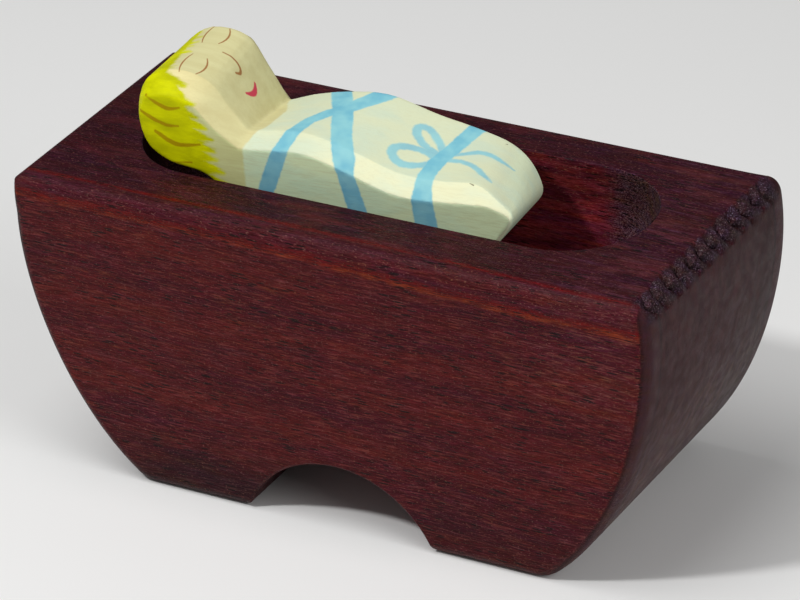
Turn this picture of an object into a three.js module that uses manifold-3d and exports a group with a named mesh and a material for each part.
// A small wooden nativity piece: a stained manger block with a routed pocket, and a carved and
// painted baby that lies loose in the pocket and lifts straight out.
// Millimetres, +X from the baby's head to its feet, +Y to the back, +Z up.
// The origin is on the floor under the middle of the block.

import * as THREE from 'three';
import { mergeVertices } from 'three/addons/utils/BufferGeometryUtils.js';
import Module from 'manifold-3d';

// Baby: a sawn board with its upper edges carved to slanting facets
const BOARD_THICKNESS = 17;
const HEAD_LENGTH = 15.6;       // crown to neck crease
const BODY_LENGTH = 38.8;       // neck crease to toe
const HEAD_RISE = 14;           // tops above the manger's rim
const NECK_RISE = 6.3;
const CHEST_RISE = 7.2;
const SHIN_RISE = 3.3;
const INSTEP_RISE = 3.7;
const BELLY_TILT = 2.8;         // how much higher the far edge of the belly is than the near edge
const TOE_SKEW = 2.3;           // how much further the near toe reaches than the far toe
const TOE_OVERHANG = 13.3;      // how far the near toe reaches past the flat of the back
const BODY_FACET = 2.4;         // width of the carved facets along the body
const HEAD_FACET = 3.2;
const NECK_FACET = 2.3;
const SAWN_ARRIS = 0.5;         // edges that the knife only broke
const FACET_FALL = 0.75;        // drop of a facet for each millimetre of its width

// Pocket: room left round the baby
const SIDE_PLAY = 6;            // pocket width over the board's thickness
const NEAR_GAP = 0.5;           // between the head end of the near side and the wall
const FAR_GAP = 1.9;            // between the far toe and the wall
const CROWN_GAP = 4.2;          // between the crown and the end of the pocket
const TOE_ROOM = 16.8;          // between the toe and the other end of the pocket
const POCKET_DEPTH = 16;
const SEAT_GAP = 0.3;           // between the baby's back and the pocket floor

// Manger block
const BLOCK_WIDTH = 40;
const POCKET_OFFSET = 1.3;      // the pocket lies this far behind the middle of the block
const END_WALL = 9.8;
const FLOOR_THICKNESS = 28;     // wood under the pocket, feet included
const FOOT_INSET = 16.5;        // each foot starts this far in from the end of the rim
const RIM_HANDLE = 10.9;        // lengths and slants of the handles that swell the ends
const RIM_SLANT = 13;
const FOOT_HANDLE = 16.3;
const FOOT_SLANT = 54;
const RIM_SOFTENING = 2.4;      // rounding of the outline's corners, measured along each side
const FOOT_SOFTENING = 1.5;
const EDGE_RADIUS = 1.8;        // router roundover along both faces
const ARCH_HEIGHT = 9.8;
const ARCH_HALF_SPAN = 14.2;
const ARCH_SOFTENING = 0.8;

// Sizes that follow
const BABY_LENGTH = HEAD_LENGTH + BODY_LENGTH;
const POCKET_LENGTH = CROWN_GAP + BABY_LENGTH + TOE_ROOM;
const POCKET_WIDTH = BOARD_THICKNESS + SIDE_PLAY;
const BLOCK_LENGTH = POCKET_LENGTH + 2 * END_WALL;
const BLOCK_HEIGHT = FLOOR_THICKNESS + POCKET_DEPTH;
const YAW_LEVER = BODY_LENGTH + HEAD_LENGTH / 2;
const BABY_YAW = Math.asin((SIDE_PLAY - NEAR_GAP - FAR_GAP) / YAW_LEVER);

// Mesh fineness
const CURVE_STEPS = 8;
const BEVEL_STEPS = 4;
const HEAD_STEPS = 44;
const BODY_STEPS = 48;
const TOP_STEPS = 4;

const wasm = await Module();
wasm.setup();

function toSolid(geometry) {
  geometry.deleteAttribute('normal');
  geometry.deleteAttribute('uv');
  const merged = mergeVertices(geometry, 1e-4);
  return new wasm.Manifold(new wasm.Mesh({
    numProp: 3,
    vertProperties: merged.attributes.position.array,
    triVerts: merged.index.array,
  }));
}

function toGeometry(solid) {
  const mesh = solid.getMesh();
  const geometry = new THREE.BufferGeometry();
  geometry.setAttribute('position', new THREE.BufferAttribute(mesh.vertProperties, 3));
  geometry.setIndex(new THREE.BufferAttribute(mesh.triVerts, 1));
  geometry.computeVertexNormals();
  return geometry;
}

// Points along one swelling end of the block, between its softened corners
function blockEnd(rimCorner, footCorner) {
  const rimSlant = THREE.MathUtils.degToRad(RIM_SLANT);
  const footSlant = THREE.MathUtils.degToRad(FOOT_SLANT);
  const curve = new THREE.CubicBezierCurve(
    rimCorner,
    new THREE.Vector2(Math.sin(rimSlant), -Math.cos(rimSlant)).multiplyScalar(RIM_HANDLE).add(rimCorner),
    new THREE.Vector2(Math.sin(footSlant), Math.cos(footSlant)).multiplyScalar(FOOT_HANDLE).add(footCorner),
    footCorner,
  );
  const length = curve.getLength();
  const start = RIM_SOFTENING / length;
  const end = 1 - FOOT_SOFTENING / length;
  const steps = 2 * CURVE_STEPS;
  return Array.from({ length: steps + 1 }, (_, i) => curve.getPointAt(start + (end - start) * i / steps));
}

// The block's outline without its arch, worked out for the +X half and mirrored
function blockOutline() {
  const rimCorner = new THREE.Vector2(BLOCK_LENGTH / 2, BLOCK_HEIGHT);
  const footCorner = new THREE.Vector2(BLOCK_LENGTH / 2 - FOOT_INSET, 0);
  const side = blockEnd(rimCorner, footCorner);
  const path = new THREE.Path();
  path.moveTo(rimCorner.x - RIM_SOFTENING, BLOCK_HEIGHT);
  path.quadraticCurveTo(rimCorner.x, rimCorner.y, side[0].x, side[0].y);
  for (const point of side.slice(1)) path.lineTo(point.x, point.y);
  path.quadraticCurveTo(footCorner.x, 0, footCorner.x - FOOT_SOFTENING, 0);
  const right = path.getPoints(CURVE_STEPS);
  const left = right.toReversed().map((point) => new THREE.Vector2(-point.x, point.y));
  return new THREE.Shape([...right, ...left]);
}

// Turns a solid drawn in X and Y, and extruded along Z, to stand in X and Z across the block
function standAcross(geometry, depth) {
  geometry.translate(0, 0, -depth / 2);
  geometry.rotateX(Math.PI / 2);
  return toSolid(geometry);
}

function blockSolid() {
  const geometry = new THREE.ExtrudeGeometry(blockOutline(), {
    depth: BLOCK_WIDTH - 2 * EDGE_RADIUS,
    bevelThickness: EDGE_RADIUS,
    bevelSize: EDGE_RADIUS,
    bevelOffset: -EDGE_RADIUS,
    bevelSegments: BEVEL_STEPS,
  });
  return standAcross(geometry, BLOCK_WIDTH - 2 * EDGE_RADIUS);
}

// The round arch between the feet, flaring at its two lips
function archSolid() {
  const radius = (ARCH_HALF_SPAN ** 2 + ARCH_HEIGHT ** 2) / (2 * ARCH_HEIGHT);
  const centreZ = ARCH_HEIGHT - radius;
  const springAngle = Math.atan2(-centreZ, ARCH_HALF_SPAN) + ARCH_SOFTENING / radius;
  const springX = radius * Math.cos(springAngle);
  const springZ = centreZ + radius * Math.sin(springAngle);
  const lipX = ARCH_HALF_SPAN + ARCH_SOFTENING;
  const outline = new THREE.Shape();
  outline.moveTo(-lipX, -ARCH_HEIGHT);
  outline.lineTo(lipX, -ARCH_HEIGHT);
  outline.lineTo(lipX, 0);
  outline.quadraticCurveTo(ARCH_HALF_SPAN, 0, springX, springZ);
  outline.absarc(0, centreZ, radius, springAngle, Math.PI - springAngle, false);
  outline.quadraticCurveTo(-ARCH_HALF_SPAN, 0, -lipX, 0);
  const depth = 2 * BLOCK_WIDTH;
  const geometry = new THREE.ExtrudeGeometry(outline, {
    depth,
    bevelEnabled: false,
    curveSegments: CURVE_STEPS,
  });
  return standAcross(geometry, depth);
}

function pocketSolid() {
  const radius = POCKET_WIDTH / 2;
  const reach = POCKET_LENGTH / 2 - radius;
  const outline = new THREE.Shape();
  outline.absarc(reach, 0, radius, -Math.PI / 2, Math.PI / 2, false);
  outline.absarc(-reach, 0, radius, Math.PI / 2, 1.5 * Math.PI, false);
  outline.closePath();
  const geometry = new THREE.ExtrudeGeometry(outline, {
    depth: 2 * POCKET_DEPTH,
    bevelEnabled: false,
    curveSegments: 4 * CURVE_STEPS,
  });
  geometry.translate(0, POCKET_OFFSET, FLOOR_THICKNESS);
  return toSolid(geometry);
}

// The baby's ridge lines, in the baby's frame: x from the neck crease, z from the manger's rim.
// Each station gives x, z and the width of the facet beside the ridge, for the near and the far ridge.
// Places on the head and the body are shares of their lengths, and near the toe they are measured
// from the toe.
const BACK_Z = SEAT_GAP - POCKET_DEPTH;
const FAR_TOE = BODY_LENGTH - TOE_SKEW;

const HEAD_STATIONS = [
  { near: [0.26 * HEAD_LENGTH, BACK_Z, SAWN_ARRIS],
    far: [0.26 * HEAD_LENGTH, BACK_Z, SAWN_ARRIS] },
  { near: [0.04 * HEAD_LENGTH, 0.57 * BACK_Z, SAWN_ARRIS],
    far: [0.04 * HEAD_LENGTH, 0.57 * BACK_Z, SAWN_ARRIS] },
  { near: [-0.17 * HEAD_LENGTH, 0.22 * BACK_Z, SAWN_ARRIS],
    far: [-0.17 * HEAD_LENGTH, 0.22 * BACK_Z, SAWN_ARRIS] },
  { near: [-0.38 * HEAD_LENGTH, 0.02 * BACK_Z, SAWN_ARRIS],
    far: [-0.38 * HEAD_LENGTH, 0.02 * BACK_Z, SAWN_ARRIS] },
  { near: [-0.73 * HEAD_LENGTH, 0.06 * HEAD_RISE, SAWN_ARRIS],
    far: [-0.73 * HEAD_LENGTH, 0.06 * HEAD_RISE, SAWN_ARRIS] },
  { near: [-0.92 * HEAD_LENGTH, 0.21 * HEAD_RISE, SAWN_ARRIS],
    far: [-0.92 * HEAD_LENGTH, 0.21 * HEAD_RISE, SAWN_ARRIS] },
  { near: [-HEAD_LENGTH, 0.53 * HEAD_RISE, 0.25 * HEAD_FACET],
    far: [-HEAD_LENGTH, 0.57 * HEAD_RISE, 0.5 * HEAD_FACET] },
  { near: [-0.95 * HEAD_LENGTH, 0.83 * HEAD_RISE, 0.75 * HEAD_FACET],
    far: [-0.925 * HEAD_LENGTH, 0.84 * HEAD_RISE, HEAD_FACET] },
  { near: [-0.69 * HEAD_LENGTH, 0.945 * HEAD_RISE, HEAD_FACET],
    far: [-0.68 * HEAD_LENGTH, 1.04 * HEAD_RISE, HEAD_FACET] },
  { near: [-0.37 * HEAD_LENGTH, 0.865 * HEAD_RISE, HEAD_FACET],
    far: [-0.34 * HEAD_LENGTH, HEAD_RISE, HEAD_FACET] },
  { near: [-0.18 * HEAD_LENGTH, NECK_RISE + 2.6, 0.9 * HEAD_FACET],
    far: [-0.155 * HEAD_LENGTH, NECK_RISE + 3, 0.9 * HEAD_FACET] },
  { near: [0, NECK_RISE, NECK_FACET],
    far: [-0.02 * HEAD_LENGTH, NECK_RISE - 1.6, NECK_FACET] },
];

const BODY_STATIONS = [
  HEAD_STATIONS.at(-1),
  { near: [0.1 * BODY_LENGTH, CHEST_RISE - 0.3, BODY_FACET],
    far: [0.1 * BODY_LENGTH, CHEST_RISE - 0.9, BODY_FACET] },
  { near: [0.23 * BODY_LENGTH, CHEST_RISE, BODY_FACET],
    far: [0.23 * BODY_LENGTH, CHEST_RISE + 0.3, BODY_FACET] },
  { near: [0.39 * BODY_LENGTH, CHEST_RISE - 1.6, BODY_FACET],
    far: [0.38 * BODY_LENGTH, CHEST_RISE + 0.8, BODY_FACET] },
  { near: [0.57 * BODY_LENGTH, SHIN_RISE, BODY_FACET],
    far: [0.57 * BODY_LENGTH, SHIN_RISE + BELLY_TILT, BODY_FACET] },
  { near: [0.72 * BODY_LENGTH, SHIN_RISE, BODY_FACET],
    far: [0.72 * BODY_LENGTH, SHIN_RISE + 1.6, BODY_FACET] },
  { near: [0.85 * BODY_LENGTH, INSTEP_RISE, BODY_FACET],
    far: [0.84 * BODY_LENGTH, INSTEP_RISE - 0.3, BODY_FACET] },
  { near: [BODY_LENGTH - 2.6, INSTEP_RISE - 1, 1.2],
    far: [FAR_TOE - 1.4, INSTEP_RISE - 2.5, BODY_FACET] },
  { near: [BODY_LENGTH, 0.8, SAWN_ARRIS],
    far: [FAR_TOE, -2, BODY_FACET] },
  { near: [BODY_LENGTH - 0.12 * TOE_OVERHANG, 0.15 * BACK_Z, SAWN_ARRIS],
    far: [FAR_TOE - 0.05 * TOE_OVERHANG, 0.27 * BACK_Z, 1.6] },
  { near: [BODY_LENGTH - 0.47 * TOE_OVERHANG, 0.48 * BACK_Z, SAWN_ARRIS],
    far: [FAR_TOE - 0.38 * TOE_OVERHANG, 0.55 * BACK_Z, SAWN_ARRIS] },
  { near: [BODY_LENGTH - TOE_OVERHANG, BACK_Z, SAWN_ARRIS],
    far: [FAR_TOE - 0.83 * TOE_OVERHANG, BACK_Z, SAWN_ARRIS] },
];

// A closed ridge line, sampled through its stations: x, facet width as y, and z
function ridgeLine(side) {
  const sample = (stations, steps) => {
    const points = stations.map(({ [side]: [x, z, facet] }) => new THREE.Vector3(x, facet, z));
    return new THREE.CatmullRomCurve3(points, false, 'centripetal').getPoints(steps);
  };
  return [...sample(HEAD_STATIONS, HEAD_STEPS).slice(0, -1), ...sample(BODY_STATIONS, BODY_STEPS)];
}

// The ridge line moved in along its own normal by the fall of the facet below it
function sawnOutline(ridge) {
  return ridge.map((point, i) => {
    const before = ridge[(i + ridge.length - 1) % ridge.length];
    const after = ridge[(i + 1) % ridge.length];
    const along = new THREE.Vector2(after.x - before.x, after.z - before.z).normalize();
    const fall = FACET_FALL * point.y;
    return new THREE.Vector3(point.x + along.y * fall, point.y, point.z - along.x * fall);
  });
}

// Rings of points across the board's thickness: the near side, the near ridge, the planed top between
// the two ridges, the far ridge and the far side
function babyRings() {
  const nearRidge = ridgeLine('near');
  const farRidge = ridgeLine('far');
  const half = BOARD_THICKNESS / 2;
  const place = (points, y) => points.map((point) => new THREE.Vector3(point.x, y(point.y), point.z));
  const nearRing = place(nearRidge, (facet) => facet - half);
  const farRing = place(farRidge, (facet) => half - facet);
  const between = Array.from({ length: TOP_STEPS + 1 }, (_, step) => nearRing.map(
    (point, i) => new THREE.Vector3().lerpVectors(point, farRing[i], step / TOP_STEPS),
  ));
  return [place(sawnOutline(nearRidge), () => -half), ...between, place(sawnOutline(farRidge), () => half)];
}

function babyGeometry() {
  const rings = babyRings();
  const count = rings[0].length;
  const positions = rings.flat().flatMap((point) => point.toArray());
  const triangles = [];
  for (let ring = 0; ring < rings.length - 1; ring++) {
    for (let i = 0; i < count; i++) {
      const a = ring * count + i;
      const b = ring * count + (i + 1) % count;
      triangles.push(a, b, a + count, b, b + count, a + count);
    }
  }
  const capOf = (ring) => {
    const contour = ring.map((point) => new THREE.Vector2(point.x, point.z));
    return THREE.ShapeUtils.triangulateShape(contour, []);
  };
  const last = (rings.length - 1) * count;
  for (const [a, b, c] of capOf(rings[0])) triangles.push(a, b, c);
  for (const [a, b, c] of capOf(rings.at(-1))) triangles.push(last + a, last + c, last + b);
  const geometry = new THREE.BufferGeometry();
  geometry.setAttribute('position', new THREE.Float32BufferAttribute(positions, 3));
  geometry.setIndex(triangles);
  geometry.computeVertexNormals();
  return geometry;
}

function makeManger() {
  const geometry = toGeometry(blockSolid().subtract(archSolid()).subtract(pocketSolid()));
  const stainedBeech = new THREE.MeshStandardMaterial({ color: 0x4b1f22, roughness: 0.45, metalness: 0 });
  const manger = new THREE.Mesh(geometry, stainedBeech);
  manger.name = 'manger_block';
  return manger;
}

function makeBaby() {
  const paleWood = new THREE.MeshStandardMaterial({ color: 0xd8cfa8, roughness: 0.6, metalness: 0 });
  const baby = new THREE.Mesh(babyGeometry(), paleWood);
  baby.name = 'baby_figure';
  const nearWallY = POCKET_OFFSET - POCKET_WIDTH / 2;
  baby.rotation.z = BABY_YAW;
  baby.position.set(
    -POCKET_LENGTH / 2 + CROWN_GAP + HEAD_LENGTH,
    nearWallY + NEAR_GAP + BOARD_THICKNESS / 2 + HEAD_LENGTH / 2 * Math.sin(BABY_YAW),
    BLOCK_HEIGHT,
  );
  return baby;
}

const figurine = new THREE.Group();
figurine.add(makeManger(), makeBaby());

export default figurine;
